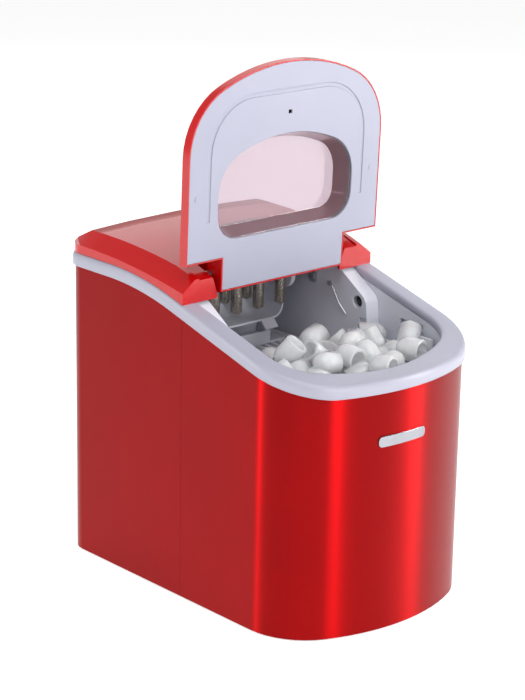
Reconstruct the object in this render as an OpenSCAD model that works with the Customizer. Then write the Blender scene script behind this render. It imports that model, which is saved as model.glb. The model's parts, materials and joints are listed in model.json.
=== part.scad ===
// Countertop ice maker with a hinged, windowed lid, shown open.
// +X right, -Y front, +Z up. The origin is at the bottom centre of the body.

/* [Body] */
// Width of the painted steel wrap
body_w = 236; // [228:1:244]
// Depth of the painted steel wrap
body_d = 345; // [338:1:352]
// Radius of the bowed front
front_r = 197; // [185:1:215]
// Radius of the two front corners
corner_r = 64; // [58:1:68]
// Radius of the two rear corners
rear_r = 22; // [16:1:26]
// Sheet thickness of the wrap
sheet = 1; // [0.8:0.1:1.4]
// Height of the wrap's bottom edge above the table
skirt_z = 1.2; // [0.8:0.1:2]
// Y of the vertical seam between the front and rear wrap
seam_y = 1.5; // [0:0.5:4]

/* [Rim] */
// How far the rim stands out past the wrap
rim_out = 2.5; // [1.5:0.5:3]
// Height of the rim's outer band
rim_band = 12.4; // [11:0.2:14]
// Height of the rim's top at the front
rim_front_z = 240; // [236:1:242]
// Rise per millimetre of the sloped part
rim_slope = 0.28; // [0.26:0.01:0.29]
// Y where the slope starts
rim_y0 = -158; // [-162:1:-156]
// Y where the slope starts to level out
rim_y1 = 15; // [12:1:16]
// Length over which the slope levels out
rim_blend = 90; // [86:1:96]
// Wall thickness of the plastic mouldings
wall = 2.5; // [2.2:0.1:2.8]

/* [Ice bay] */
// Half the width of the opening in the rim
bay_hw = 100.5; // [99:0.5:101]
// Y of the opening's front edge
bay_yf = -151; // [-153:1:-150]
// Radius of the opening's bowed front
bay_r = 175; // [168:1:180]
// Radius of the opening's front corners
bay_cr = 44; // [40:1:48]
// Floor of the water reservoir
tub_z = 70; // [66:1:74]
// Y of the reservoir's rear wall
tub_yb = 20; // [18:1:22]
// Inner face of the two cheeks beside the tray
cheek_x = 84; // [83:0.5:85]

/* [Lid] */
// Y and Z of the hinge axis
hinge_yz = [11.8, 304.5];
// Forward lean of the open lid in degrees
lid_lean = 1.95; // [1.5:0.05:2.5]
// Half the width of the lid
lid_hw = 119; // [118:0.5:119.5]
// Length of the lid above its tongue's end
lid_len = 203.9; // [202:0.1:205]
// Half the width of the lid's hinge tongue
tongue_hw = 76.3; // [75.5:0.1:76.4]
// Length of the tongue
tongue_len = 29.7; // [29:0.1:30]
// Depth of the lid's side wall, and of the whole shell
lid_side = 9; // [8:0.5:10]
lid_depth = 20; // [19:0.5:20.5]
// Width of the lid's chamfer
lid_cham = 14; // [12:0.5:15]
// Radius of the hinge pins
pin_r = 3; // [2.8:0.1:3.2]

/* [Freezing group] */
// Radius of the cooling rods
rod_r = 5.5; // [5:0.1:5.8]
// Height of the rods' lower ends
rod_z = 248; // [247:0.5:250]
// Spacing of the rods along a row
rod_pitch = 28; // [27:0.5:28]
// Y of the two rows of rods
rod_rows = [45, 78];
// Y and Z of the tray's pivot
tray_yz = [59, 271];
// Half the length of the water tray
tray_hw = 60; // [58:0.5:60.5]

/* [Hidden] */
$fn = 48;
hw = body_w / 2;
hd = body_d / 2;
rim_hw = hw + rim_out;
rim_hd = hd + rim_out;
tall = 340;
// Clearance between sliding pieces, and radial clearance of a turning pin
gap = 0.3;
run = 0.05;
red = "firebrick";
grey = "gainsboro";

// ---------- outlines ----------
function arc(c, r, a0, a1, n, first = 0) =
  [for (i = [first:n]) let (a = a0 + (a1 - a0) * i / n) [c[0] + r * cos(a), c[1] + r * sin(a)]];

// Plan outline with a bowed front, two large front corners and two small rear ones
function plan(w, yf, yb, fr, cr, rr) =
  let (k = sqrt(pow(fr - cr, 2) - pow(w - cr, 2)), yc = yf + fr - k, th = atan2(k, w - cr))
  concat(arc([0, yf + fr], fr, th - 180, -th, 14),
    arc([w - cr, yc], cr, -th, 0, 8, 1),
    arc([w - rr, yb - rr], rr, 0, 90, 6),
    arc([rr - w, yb - rr], rr, 90, 180, 6),
    [for (p = arc([cr - w, yc], cr, 180, 180 + th, 8)) if (p[0] != undef && p[1] > yf - 1) p]);
function body_plan(t = 0) =
  drop_last(plan(hw + t, -hd - t, hd + t, front_r + t, corner_r + t, rear_r + t));
function bay_plan(t = 0, yb = 150, rr = 9) =
  drop_last(plan(bay_hw + t, bay_yf - t, yb + t, bay_r + t, bay_cr + t, rr + t));
function drop_last(p) = [for (i = [0:len(p) - 2]) p[i]];
function round_rect(w, y0, y1, r, n = 5) =
  concat(arc([w - r, y0 + r], r, -90, 0, n), arc([w - r, y1 - r], r, 0, 90, n),
    arc([r - w, y1 - r], r, 90, 180, n), arc([r - w, y0 + r], r, 180, 270, n));

// Height of the rim's top along the machine: level, slope, blend, level
function rim_z(y) =
  let (s = y - rim_y1, z1 = rim_front_z + (rim_y1 - rim_y0) * rim_slope)
  y < rim_y0 ? rim_front_z :
  y < rim_y1 ? rim_front_z + (y - rim_y0) * rim_slope :
  y < rim_y1 + rim_blend ? z1 + rim_slope * s - rim_slope * s * s / 2 / rim_blend :
  z1 + rim_slope * rim_blend / 2;
rim_ys = concat([-180, rim_y0, 0], [for (i = [0:8]) rim_y1 + rim_blend * i / 8], [150, 180]);
function rim_line(off) = [for (y = rim_ys) [y, rim_z(y) + off]];

// Closed skin through rings of equal length, capped at both ends
module skin(rings) {
  n = len(rings[0]);
  m = len(rings);
  polyhedron(points = [for (r = rings) for (p = r) p],
    faces = concat([[for (i = [0:n - 1]) i]],
      [for (j = [0:m - 2]) for (i = [0:n - 1])
        for (k = [0, 1]) k == 0 ? [j * n + i, (j + 1) * n + i, (j + 1) * n + (i + 1) % n] :
          [j * n + i, (j + 1) * n + (i + 1) % n, j * n + (i + 1) % n]],
      [[for (i = [n - 1:-1:0]) (m - 1) * n + i]]));
}
module side(pts, x0, x1) {
  translate([x0, 0, 0]) rotate([90, 0, 90]) linear_extrude(x1 - x0) polygon(pts);
}
module front(pts, y0, y1) {
  translate([0, y1, 0]) rotate([90, 0, 0]) linear_extrude(y1 - y0) polygon(pts);
}
module up(pts, z0, z1) {
  translate([0, 0, z0]) linear_extrude(z1 - z0) polygon(pts);
}
module box(a, b) {
  translate(a) cube(b - a);
}
module rod_x(y, z, r, x0, x1) {
  translate([x0, y, z]) rotate([0, 90, 0]) cylinder(r = r, h = x1 - x0);
}
module rod_y(x, z, r, y0, y1) {
  translate([x, y0, z]) rotate([-90, 0, 0]) cylinder(r = r, h = y1 - y0);
}
module both() {
  children();
  mirror([1, 0, 0]) children();
}
// Tube swept through a list of points, each bend rounded over the length k
function unit(v) = v / norm(v);
function mix(a, b, t) = a * (1 - t) + b * t;
function bend(p, k) = [for (i = [0:len(p) - 1])
  if (i == 0 || i == len(p) - 1) p[i] else
    let (a = p[i] + unit(p[i - 1] - p[i]) * k, b = p[i] + unit(p[i + 1] - p[i]) * k)
    for (t = [0:0.25:1]) mix(mix(a, p[i], t), mix(p[i], b, t), t)];
function ring_at(p, i, r, n) =
  let (a = i > 0 ? unit(p[i] - p[i - 1]) : unit(p[1] - p[0]),
    b = i < len(p) - 1 ? unit(p[i + 1] - p[i]) : a, t = unit(a + b),
    u = unit(cross(t, [0.31, 0.23, 0.92])), v = cross(t, u))
  [for (j = [0:n - 1]) p[i] + r * (cos(360 * j / n) * u + sin(360 * j / n) * v)];
module tube(pts, r, k = 10, n = 10) {
  p = bend(pts, k);
  skin([for (i = [0:len(p) - 1]) ring_at(p, i, r, n)]);
}
module under_rim(off) {
  side(concat(rim_line(off), [[180, -5], [-180, -5]]), -130, 130);
}

// ---------- outer shell ----------
foot_xy = [[84, -118], [84, 140]];
module base_pan() {
  color("dimgray") difference() {
    union() {
      up(body_plan(-sheet - 0.1), 4, 7);
      difference() {
        up(body_plan(-sheet - 0.1), skirt_z, 20);
        up(body_plan(-sheet - 0.1 - wall), skirt_z - 1, 21);
      }
    }
    both() for (p = foot_xy) translate([p[0], p[1], 3]) cylinder(r = 3, h = 5);
    for (i = [-3:3]) box([i * 14 - 3, 70, 3], [i * 14 + 3, 110, 8]);
  }
}
module feet() {
  color("black") both() for (p = foot_xy) translate([p[0], p[1], 0]) {
    cylinder(r1 = 9, r2 = 11, h = 4);
    cylinder(r = 3, h = 7);
  }
}
drain_yz = [-62, 36];
module wrap_ring() {
  intersection() {
    difference() {
      up(body_plan(), skirt_z, tall);
      up(body_plan(-sheet), 0, tall + 1);
    }
    under_rim(-rim_band / 2);
  }
}
module front_wrap() {
  color(red) difference() {
    wrap_ring();
    box([-130, seam_y, -5], [130, 200, tall + 2]);
    rod_x(drain_yz[0], drain_yz[1], 13.3, 110, 125);
  }
}
grille = [[-94, 36], [-8, 150]];
gland_xz = [70, 40];
screw_x = [-90, 90];
screw_z = [27, 170, 262];
module rear_wrap() {
  color(red) difference() {
    wrap_ring();
    box([-130, -200, -5], [130, seam_y + 0.2, tall + 2]);
    box([grille[0][0], hd - 5, grille[0][1]], [grille[1][0], hd + 5, grille[1][1]]);
    rod_y(gland_xz[0], gland_xz[1], 9.5, hd - 5, hd + 5);
    for (x = screw_x) for (z = screw_z) rod_y(x, z, 1.7, hd - 5, hd + 5);
  }
}
module rear_grille() {
  x0 = grille[0][0];
  x1 = grille[1][0];
  z0 = grille[0][1];
  z1 = grille[1][1];
  color("dimgray") {
    difference() {
      box([x0 + 0.2, hd - 6, z0 + 0.2], [x1 - 0.2, hd + 1.5, z1 - 0.2]);
      box([x0 + 6, hd - 7, z0 + 6], [x1 - 6, hd + 3, z1 - 6]);
    }
    for (i = [0:11]) translate([x0 + 5, hd - 4.5, z0 + 11 + i * 8.4]) rotate([-35, 0, 0])
      cube([x1 - x0 - 10, 1.8, 7.5], center = false);
  }
}
module rim_bezel() {
  color(grey) difference() {
    intersection() {
      up(body_plan(rim_out), 200, tall);
      side(concat(rim_line(0), [for (i = [len(rim_ys) - 1:-1:0]) [rim_ys[i], rim_z(rim_ys[i]) - rim_band]]),
        -130, 130);
    }
    up(bay_plan(), 190, tall + 1);
    intersection() {
      difference() {
        up(body_plan(gap), 190, tall + 1);
        up(bay_plan(wall), 180, tall + 2);
      }
      under_rim(-wall);
    }
    // The inner skirt is shorter than the outer band
    intersection() {
      up(bay_plan(wall + 1), 190, tall + 1);
      under_rim(-8);
    }
  }
}

// ---------- top cover with its two hinge horns ----------
cover_hw = 118.5;
cover_ys = concat([0, 8], [for (i = [0:8]) rim_y1 + rim_blend * i / 8], [128, 150, 173]);
function fold_z(y) = 294.8 + 0.2 * y - 0.2 * y * y / 290;
function ridge_up(y) = y < 23 ? 11 + 3 * y / 23 : 14 - (y - 23) * 0.012;
function cover_ring(y, t) =
  let (f = fold_z(min(y, 145)), k = y > 151 ? 0.08 : 1, r = f + ridge_up(y) * k, b = rim_z(y) - (t > 0 ? 2 : 0))
  [[-cover_hw + t, b], [-cover_hw + t, f - t * 0.6], [-104 + t * 0.4, r - t], [-60, r + 2 * k - t],
    [0, r + 3 * k - t], [60, r + 2 * k - t], [104 - t * 0.4, r - t], [cover_hw - t, f - t * 0.6],
    [cover_hw - t, b]];
module cover_solid(t) {
  intersection() {
    skin([for (y = cover_ys) [for (p = cover_ring(y, t)) [p[0], y, p[1]]]]);
    up(body_plan(0.5 - t), 250, tall);
    box([-130, t, 250], [130, hd + 0.5 - t, tall]);
  }
}
// Room for the lid's tongue between the horns
notch_y = 34;
notch = [[-76.9, 270], [-77.2, 288], [-79, 294.1], [-82.8, 303.8], [-84.5, 335],
  [84.5, 335], [82.8, 303.8], [79, 294.1], [77.2, 288], [76.9, 270]];
module top_cover() {
  color(red) difference() {
    union() {
      difference() {
        cover_solid(0);
        cover_solid(wall);
        front(notch, -1, notch_y);
      }
      // Inner wall of each horn, and the wall behind the notch
      intersection() {
        cover_solid(0);
        union() {
          both() intersection() {
            front([[notch[9][0], 286], [notch[7][0], 294.1], [notch[6][0], 303.8], [notch[5][0], 335],
              [notch[5][0] + 3, 335], [notch[6][0] + 3.5, 303.8], [notch[9][0] + 3.5, 286]], 0, notch_y + wall);
            side([[0, 286], [notch_y + wall, 295], [notch_y + wall, 330], [0, 330]], 70, 100);
          }
          box([-85, notch_y, 297], [85, notch_y + wall, 330]);
        }
      }
    }
    side([[-1, 304], [23, 312.5], [notch_y, 316.3], [notch_y, 335], [-1, 335]], -99, 99);
    for (x = [-1, 1]) rod_x(hinge_yz[0], hinge_yz[1], pin_r, x * 81 - 9, x * 81 + 9);
    ui_frame() box([-44, -12.5, -12], [44, 12.5, 10]);
  }
}
module hinge_pins() {
  color("silver") both() rod_x(hinge_yz[0], hinge_yz[1], pin_r, 62, 88);
}

// ---------- control group, tilted to follow the cover ----------
ui_y = 73;
ui_z = fold_z(ui_y) + ridge_up(ui_y) + 3.4;
ui_tilt = 5;
button_x = 31;
button_r = 8;
lens_x = [for (i = [-2:2]) i * 8];
module ui_frame() {
  translate([0, ui_y, ui_z]) rotate([ui_tilt, 0, 0]) children();
}
module control_panel() {
  color("dimgray") ui_frame() difference() {
    union() {
      box([-43.8, -12.3, -3], [43.8, 12.3, 0]);
      both() box([40.5, -9.5, -9.2], [43, 9.5, -2.9]);
    }
    both() translate([button_x, 0, -4]) cylinder(r = button_r + gap, h = 6);
    for (x = lens_x) translate([x, 0, -4]) cylinder(r = 2.05, h = 6);
  }
}
module button_at(x) {
  ui_frame() translate([x, 0, -3.2]) {
    cylinder(r = button_r, h = 4.4);
    translate([0, 0, -1.6]) cylinder(r = 3, h = 1.7);
  }
}
module power_button() {
  color("silver") button_at(-button_x);
}
module select_button() {
  color("silver") button_at(button_x);
}
module indicator_lenses() {
  color("limegreen") ui_frame() for (x = lens_x) translate([x, 0, -3.2]) cylinder(r = 2, h = 3.4);
}
module control_board() {
  z = -11;
  color("darkgreen") ui_frame() {
    box([-46, -13, z], [46, 13, z + 1.6]);
    both() translate([button_x, 0, z + 1.5]) cylinder(r = 2, h = 3.3);
    box([-20, -10, z - 2], [8, -2, z + 0.1]);
    for (x = lens_x) translate([x, 0, z + 1.5]) cylinder(r = 1.5, h = 5);
    box([14, -8, z - 2], [30, 8, z + 0.1]);
  }
}

// ---------- liner, cheeks and water side ----------
deck_z = 186;
liner_yb = 124;
motor_window_r = 22;
grip_out = [[-97, 250], [-97, 246], [-84, 222], [-62, 222], [-54, 236], [-54, 252], [-90, 254]];
grip_in = [[-90, 246], [-90, 242], [-81, 228], [-65, 228], [-60, 236], [-60, 246]];
module liner() {
  color("lightgray") difference() {
    union() {
      intersection() {
        difference() {
          up(bay_plan(wall, liner_yb), deck_z, tall);
          up(bay_plan(0, liner_yb), deck_z + wall, tall + 1);
        }
        under_rim(-8.1);
      }
      difference() {
        up(bay_plan(wall, tub_yb), tub_z - wall, deck_z + wall);
        up(bay_plan(0, tub_yb), tub_z, deck_z + wall + 1);
      }
      both() intersection() {
        side(grip_out, bay_hw + 1, bay_hw + 8);
        under_rim(-8.3);
      }
      both() for (y = [-118, -46]) box([66, y, tub_z - 1], [78, y + 8, basket_z - 0.2]);
    }
    up(bay_plan(0, tub_yb), deck_z - 4, deck_z + wall + 1);
    both() side(grip_in, bay_hw - 1, bay_hw + 6);
    both() rod_x(-18.5, 255.5, 5, 95, 110);
    rod_x(tray_yz[0], tray_yz[1], motor_window_r, 95, 110);
    rod_x(tray_yz[0], tray_yz[1], 6, -110, -95);
    translate(drain_hole) translate([0, 0, -5]) cylinder(r = 6.1, h = 20);
    translate([pump_xy[0], pump_xy[1], 60]) cylinder(r = 5.1, h = 20);
  }
}
drain_hole = [70, -62, tub_z - wall];
pump_xy = [-60, -20];
module foam_jacket() {
  t = wall + 1;
  color("white") intersection() {
    difference() {
      up(bay_plan(t + 9, tub_yb + 5), tub_z - 10, 212);
      up(bay_plan(t, tub_yb), tub_z - t, 213);
      translate([drain_hole[0], drain_hole[1], 50]) cylinder(r = 10, h = 30);
      translate([pump_xy[0], pump_xy[1], 50]) cylinder(r = 9, h = 30);
      up(bay_plan(t), deck_z - 1, 213);
      box([-130, tub_yb, deck_z - 12], [130, 60, 240]);
    }
    box([-130, -180, 40], [130, tub_yb + 14, 212]);
  }
}
cheek_yf = -32;
cheek = [[cheek_yf, 204], [cheek_yf - 0.5, 235], [cheek_yf + 1.5, 255.5], [cheek_yf + 5, 261.5],
  [5, 282.5], [15, 285.5], [60, 290], [liner_yb - 1, 290], [liner_yb - 1, deck_z + wall + 0.2],
  [tub_yb + 1, deck_z + wall + 0.2], [tub_yb + 1, 204]];
cheek_band = [[cheek_yf, 204], [cheek_yf - 0.5, 235], [cheek_yf + 1.5, 255.5], [cheek_yf + 5, 261.5],
  [5, 282.5], [15, 285.5], [15, 282.3], [7, 279.8], [cheek_yf + 7, 258.6], [cheek_yf + 4.4, 254.5],
  [cheek_yf + 2.5, 235], [cheek_yf + 3, 204]];
module cheek_side() {
  difference() {
    union() {
      side(cheek, cheek_x, cheek_x + 3);
      side(cheek_band, cheek_x, bay_hw - gap);
      // Collar behind the sensor's hole
      rod_x(-18.5, 255.5, 8.5, cheek_x + 1, cheek_x + 9);
      rod_x(tray_yz[0], tray_yz[1], 8, cheek_x + 1, cheek_x + 5);
    }
    rod_x(-18.5, 255.5, 6, cheek_x - 1, cheek_x + 12);
    box([cheek_x - 1, -30, 233], [cheek_x + 2, -22, 241]);
    rod_x(tray_yz[0], tray_yz[1], 4 + run, cheek_x - 1, cheek_x + 8);
  }
}
module right_cheek() {
  color("lightgray") cheek_side();
}
module left_cheek() {
  color("lightgray") mirror([1, 0, 0]) cheek_side();
}
module sensor_at() {
  rod_x(-18.5, 255.5, 5.9, cheek_x + 5, cheek_x + 10);
  translate([cheek_x + 5, -18.5, 255.5]) sphere(r = 3.2);
}
module ir_receiver() {
  color("black") sensor_at();
}
module ir_emitter() {
  color("black") mirror([1, 0, 0]) sensor_at();
}
// Spring-steel ice probe and its clip on the right cheek
module probe_wire() {
  x = cheek_x - 1.2;
  color("silver") {
    tube([[x - 0.4, 19, 265.5], [x, 15.5, 264.6], [x, 6.3, 250], [x, -4.6, 240.4]], 0.8, 1.2, 8);
    box([cheek_x - 2.6, 17, 264], [cheek_x, 21, 268]);
    box([cheek_x - 3, 38, 263], [cheek_x, 62 - 17, 266.5]);
    box([cheek_x - 5, 38, 266.4], [cheek_x, 45, 272]);
  }
}
deck_top = 202;
module drip_deck() {
  color("whitesmoke") {
    difference() {
      box([-82, -11, deck_top - 3], [82, 100, deck_top]);
      for (i = [-8:8]) box([i * 9 - 2, -4, deck_top - 4], [i * 9 + 2, 42, deck_top + 1]);
      for (i = [-8:8]) box([i * 9 - 2, 50, deck_top - 4], [i * 9 + 2, 92, deck_top + 1]);
    }
    both() for (y = [26, 90]) box([74, y, deck_z + wall + 0.1], [80, y + 6, deck_top - 2.9]);
  }
}
basket_z = 112;
basket_top = 222;
basket_yb = -14;
module basket_plan(t, z0, z1) {
  intersection() {
    up(bay_plan(t - 3.5), z0, z1);
    box([-130, -180, z0 - 1], [130, cheek_yf - 4 + t, z1 + 1]);
  }
  box([-81 - t, -60, z0], [81 + t, basket_yb + t, z1]);
}
module ice_basket() {
  t = 2;
  color("white") {
    difference() {
      union() {
        basket_plan(0, basket_z, basket_top);
        basket_plan(1.5, basket_top - 3, basket_top);
        // Two grips that the fingers lift the basket by
        both() box([bay_hw - 7.5, -108, 200], [bay_hw - 4.5, -92, 237]);
      }
      basket_plan(-t, basket_z + t, basket_top + 1);
      // The rear wall is low, so that pushed ice falls in
      box([-130, cheek_yf - 9, 196], [130, 0, basket_top + 2]);
      both() box([bay_hw - 9, -104, 222], [bay_hw - 4, -96, 233]);
      for (i = [-8:8]) box([i * 10 - 2, -132, basket_z - 1], [i * 10 + 2, -84, basket_z + t + 1]);
      for (i = [-7:7]) box([i * 10 - 2, -74, basket_z - 1], [i * 10 + 2, -26, basket_z + t + 1]);
      for (i = [-6:6]) box([i * 11 - 3, -152, 150], [i * 11 + 3, -135, 205]);
    }
  }
}
float_xy = [-78, 2];
module float_stem() {
  color("white") translate([float_xy[0], float_xy[1], tub_z]) {
    cylinder(r = 7, h = 2);
    cylinder(r = 2.5, h = 34);
    translate([0, 0, 31]) cylinder(r = 5, h = 3);
  }
}
module water_float() {
  color("orange") translate([float_xy[0], float_xy[1], tub_z + 3]) difference() {
    cylinder(r = 9, h = 14);
    translate([0, 0, -1]) cylinder(r = 2.5 + gap, h = 16);
  }
}
module reservoir_filter() {
  color("white") translate([pump_xy[0], pump_xy[1], tub_z]) difference() {
    cylinder(r = 11, h = 9);
    translate([0, 0, -1]) cylinder(r = 9.5, h = 8);
    for (a = [0:30:150]) rotate([0, 0, a]) translate([-12, -0.8, 1]) cube([24, 1.6, 5]);
  }
}
module water_pump() {
  color("dimgray") translate([pump_xy[0], pump_xy[1], 0]) {
    translate([0, 0, 12]) cylinder(r = 19, h = 30);
    translate([0, 0, 42]) cylinder(r = 14, h = 12);
    translate([0, 0, 54]) cylinder(r = 5, h = 15.5);
    box([-16, -24, 7], [16, 24, 12.1]);
    rod_x(0, 48, 4.5, -26, -10);
  }
}
module water_hose() {
  color("white") tube([[-87, pump_xy[1], 48], [-106, pump_xy[1], 48], [-110, 34, 55], [-110, 96, 120],
    [-110, 112, 250], [-106, 138, 284], [-96, 138, 288], [-68, 138, 296], [-68, 53, 296], [-54, 53, 296]], 2.4, 8);
}
module drain_spout() {
  y = drain_yz[0];
  z = drain_yz[1];
  color("lightgray") difference() {
    union() {
      rod_x(y, z, 10, 66, 117.8);
      rod_x(y, z, 13, hw - 3, hw + 0.2);
      translate([drain_hole[0], y, z]) cylinder(r = 6, h = tub_z - z);
      translate([drain_hole[0], y, z]) cylinder(r = 8.5, h = 60 - z);
    }
    rod_x(y, z, 7, 69, 120);
    translate([drain_hole[0], y, z]) cylinder(r = 4, h = 60);
  }
}
module drain_plug() {
  y = drain_yz[0];
  z = drain_yz[1];
  color("dimgray") {
    rod_x(y, z, 7 - run, 98, hw + 0.4);
    rod_x(y, z, 11.5, hw + 0.4, hw + 2.3);
  }
}

// ---------- freezing group ----------
module evaporator_head() {
  color("silver") {
    up(round_rect(52, 36, 84, 8), 284, 291);
    both() rod_x(50, 288, 3.2, 48, 66);
  }
}
module evaporator_rods() {
  color("tan") for (r = [0, 1]) for (i = [0:3 - r])
    translate([(i - (3 - r) / 2) * rod_pitch, rod_rows[r], rod_z]) {
      translate([0, 0, 1.5]) cylinder(r = rod_r, h = 284 - rod_z - 1.5);
      cylinder(r1 = rod_r - 1.5, r2 = rod_r, h = 1.5);
    }
}
module evaporator_bracket() {
  color("silver") both() {
    box([40, 36, 291], [cheek_x - gap, 43, 292.5]);
    box([cheek_x - 2.5, 36, 282], [cheek_x - gap, 43, 292.5]);
  }
}
// Cross-section of the tray, tipped down to let the ice fall
ty = tray_yz[0];
tz = tray_yz[1];
function tray_profile(t) =
  concat([[ty, tz - 41 - t], [ty + 14, tz - 41 - t]],
    arc([ty + 14, tz - 19], 22 + t, -90, 0, 8, 1),
    arc([ty + 16, tz + 14], 20 + t, 0, 90, 8),
    [[ty, tz + 34 + t]]);
module tray_block(t, x) {
  intersection() {
    side(tray_profile(t), -x, x);
    front(round_rect(x, tz - 41 - t, tz + 34 + t, 10 + t), ty - 5, ty + 50);
  }
}
module water_tray() {
  color("lightgray") difference() {
    union() {
      tray_block(2, tray_hw);
      both() rod_x(ty, tz, 13, tray_hw - 2, tray_hw + 3);
      rod_x(ty, tz, 4, tray_hw, cheek_x + 8);
      rod_x(ty, tz, 4, -cheek_x - 4, -tray_hw);
      // Pouring spout on the lip
      side([[ty + 1, tz - 41], [ty + 1, tz - 43], [ty - 6, tz - 51], [ty - 7.5, tz - 49.6], [ty, tz - 41]], 31, 47);
    }
    difference() {
      tray_block(0, tray_hw - 2);
      both() rod_x(ty, tz, 13, tray_hw - 4, tray_hw + 3);
    }
    box([-tray_hw + 2, ty - 14, tz - 14], [tray_hw - 2, ty + 2, tz + 14]);
  }
}
module tray_motor() {
  color("silver") difference() {
    union() {
      rod_x(ty, tz, 17, cheek_x + 3.2, cheek_x + 22);
      box([cheek_x + 3.2, ty - 28, tz - 5], [cheek_x + 5, ty + 28, tz + 5]);
    }
    rod_x(ty, tz, 8.3, cheek_x + 2, cheek_x + 5.5);
    rod_x(ty, tz, 4 + run, cheek_x + 2, cheek_x + 12);
  }
}
shovel_y = 62;
module ice_shovel() {
  color("gainsboro") {
    box([-66, shovel_y, deck_top + gap], [46, shovel_y + 2.5, 216]);
    box([-66, shovel_y, deck_top + gap], [66, shovel_y + 24, deck_top + 2.6]);
    for (x = [-64, -10, 42]) side([[shovel_y + 2, deck_top + 2], [shovel_y + 16, deck_top + 2], [shovel_y + 2, 213]],
      x, x + 2);
  }
}

// ---------- cooling group ----------
comp_xy = [52, 92];
module compressor() {
  color("black") translate([comp_xy[0], comp_xy[1], 0]) {
    translate([0, 0, 24]) cylinder(r = 50, h = 96);
    translate([0, 0, 120]) cylinder(r1 = 50, r2 = 38, h = 14);
    translate([0, 0, 15]) cylinder(r1 = 38, r2 = 50, h = 9);
    box([-58, -46, 13], [58, 46, 15.1]);
    box([-60, -16, 60], [-46, 16, 100]);
  }
}
module compressor_mounts() {
  color("dimgray") for (x = [-50, 50]) for (y = [-38, 38]) translate([comp_xy[0] + x, comp_xy[1] + y, 7])
    cylinder(r = 7, h = 6);
}
cond = [[-102, 136, 34], [-10, 164, 152]];
module condenser_coil() {
  xs = [cond[0][0] - 4, cond[1][0] + 4];
  color("peru") {
    for (i = [0:6]) for (y = [143, 157]) rod_x(y, cond[0][2] + 10 + i * 16, 3.5, xs[0], xs[1]);
    for (i = [0:6]) for (x = xs) rod_y(x, cond[0][2] + 10 + i * 16, 3.5, 143, 157);
    for (i = [0:5]) translate([xs[i % 2], 143, cond[0][2] + 10 + i * 16]) cylinder(r = 3.5, h = 16);
  }
}
module condenser_fins() {
  pitch = 4;
  n = floor((cond[1][0] - cond[0][0]) / pitch);
  color("silver") difference() {
    for (i = [0:n - 1]) box([cond[0][0] + i * pitch, cond[0][1], cond[0][2]],
      [cond[0][0] + i * pitch + 1, cond[1][1], cond[1][2]]);
    for (i = [0:6]) for (y = [143, 157]) rod_x(y, cond[0][2] + 10 + i * 16, 3.6, -110, 0);
  }
}
fan_c = [-56, 118, 93];
module fan_shroud() {
  color("dimgray") difference() {
    box([cond[0][0], 108, cond[0][2]], [cond[1][0], 134, cond[1][2]]);
    rod_y(fan_c[0], fan_c[2], 42, 106, 136);
  }
  color("dimgray") for (a = [0:90:270]) translate([fan_c[0], 130, fan_c[2]]) rotate([0, a + 45, 0])
    box([12.1, 0, -2], [43, 3, 2]);
}
module fan_motor() {
  color("black") rod_y(fan_c[0], fan_c[2], 12, 126, 134);
  color("silver") rod_y(fan_c[0], fan_c[2], 2, 108, 127);
}
module fan_blades() {
  color("black") difference() {
    union() {
      rod_y(fan_c[0], fan_c[2], 12, 110, 124);
      for (a = [0:60:300]) translate([fan_c[0], 117, fan_c[2]]) rotate([0, a, 0]) rotate([38, 0, 0])
        box([10, -0.9, -8], [39, 0.9, 8]);
    }
    rod_y(fan_c[0], fan_c[2], 2 + run, 108, 126);
  }
}
module filter_drier() {
  color("peru") translate([-22, 52, 0]) {
    translate([0, 0, 60]) cylinder(r = 9, h = 60);
    translate([0, 0, 120]) cylinder(r1 = 9, r2 = 2.5, h = 10);
    translate([0, 0, 50]) cylinder(r1 = 2.5, r2 = 9, h = 10);
  }
}
module refrigerant_lines() {
  color("peru") {
    tube([[65, 50, 288], [73, 50, 288], [76, 70, 296], [76, 132, 298], [88, 138, 270], [88, 128, 140],
      [84, 112, 124]], 2.6, 6);
    tube([[-65, 50, 288], [-73, 50, 288], [-76, 70, 297], [-76, 130, 297], [-50, 132, 270],
      [-24, 132, 176], [-22, 54, 160], [-22, 52, 128]], 2, 6);
    tube([[8, 120, 118], [2, 127, 160], [-6, 143, 158], [-6, 143, 142]], 2.6, 4);
    tube([[-22, 52, 51], [-22, 52, 40], [-4, 80, 38], [-4, 128, 40], [-6, 142, 44]], 2, 6);
  }
}
module cord_gland() {
  x = gland_xz[0];
  z = gland_xz[1];
  color("black") difference() {
    union() {
      rod_y(x, z, 9.3, hd - 8, hd);
      rod_y(x, z, 12, hd, hd + 2.2);
      rod_y(x, z, 12, hd - 6, hd - sheet - 0.1);
    }
    rod_y(x, z, 4, hd - 10, hd + 4);
  }
}
badge_xz = [-7, 182];
badge_half = [28, 5];
module front_badge() {
  color("silver") intersection() {
    translate([badge_xz[0], 0, 0])
      front(round_rect(badge_half[0], badge_xz[1] - badge_half[1], badge_xz[1] + badge_half[1], 4), -hd - 2, -hd + 4);
    difference() {
      up(body_plan(1.2), badge_xz[1] - 12, badge_xz[1] + 12);
      up(body_plan(0.02), badge_xz[1] - 13, badge_xz[1] + 13);
    }
  }
}
module wrap_screws() {
  color("silver") for (x = screw_x) for (z = screw_z) {
    rod_y(x, z, 3.2, hd, hd + 1.4);
    rod_y(x, z, 1.5, hd - 6, hd + 0.1);
  }
}

// ---------- lid, in its own frame: X across, Y up the lid, -Z through to the back ----------
lid_axis = [12.4, 16];
module lid_frame() {
  translate([0, hinge_yz[0], hinge_yz[1]]) rotate([90 + lid_lean, 0, 0]) translate([0, -lid_axis[0], lid_axis[1]])
    children();
}
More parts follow.
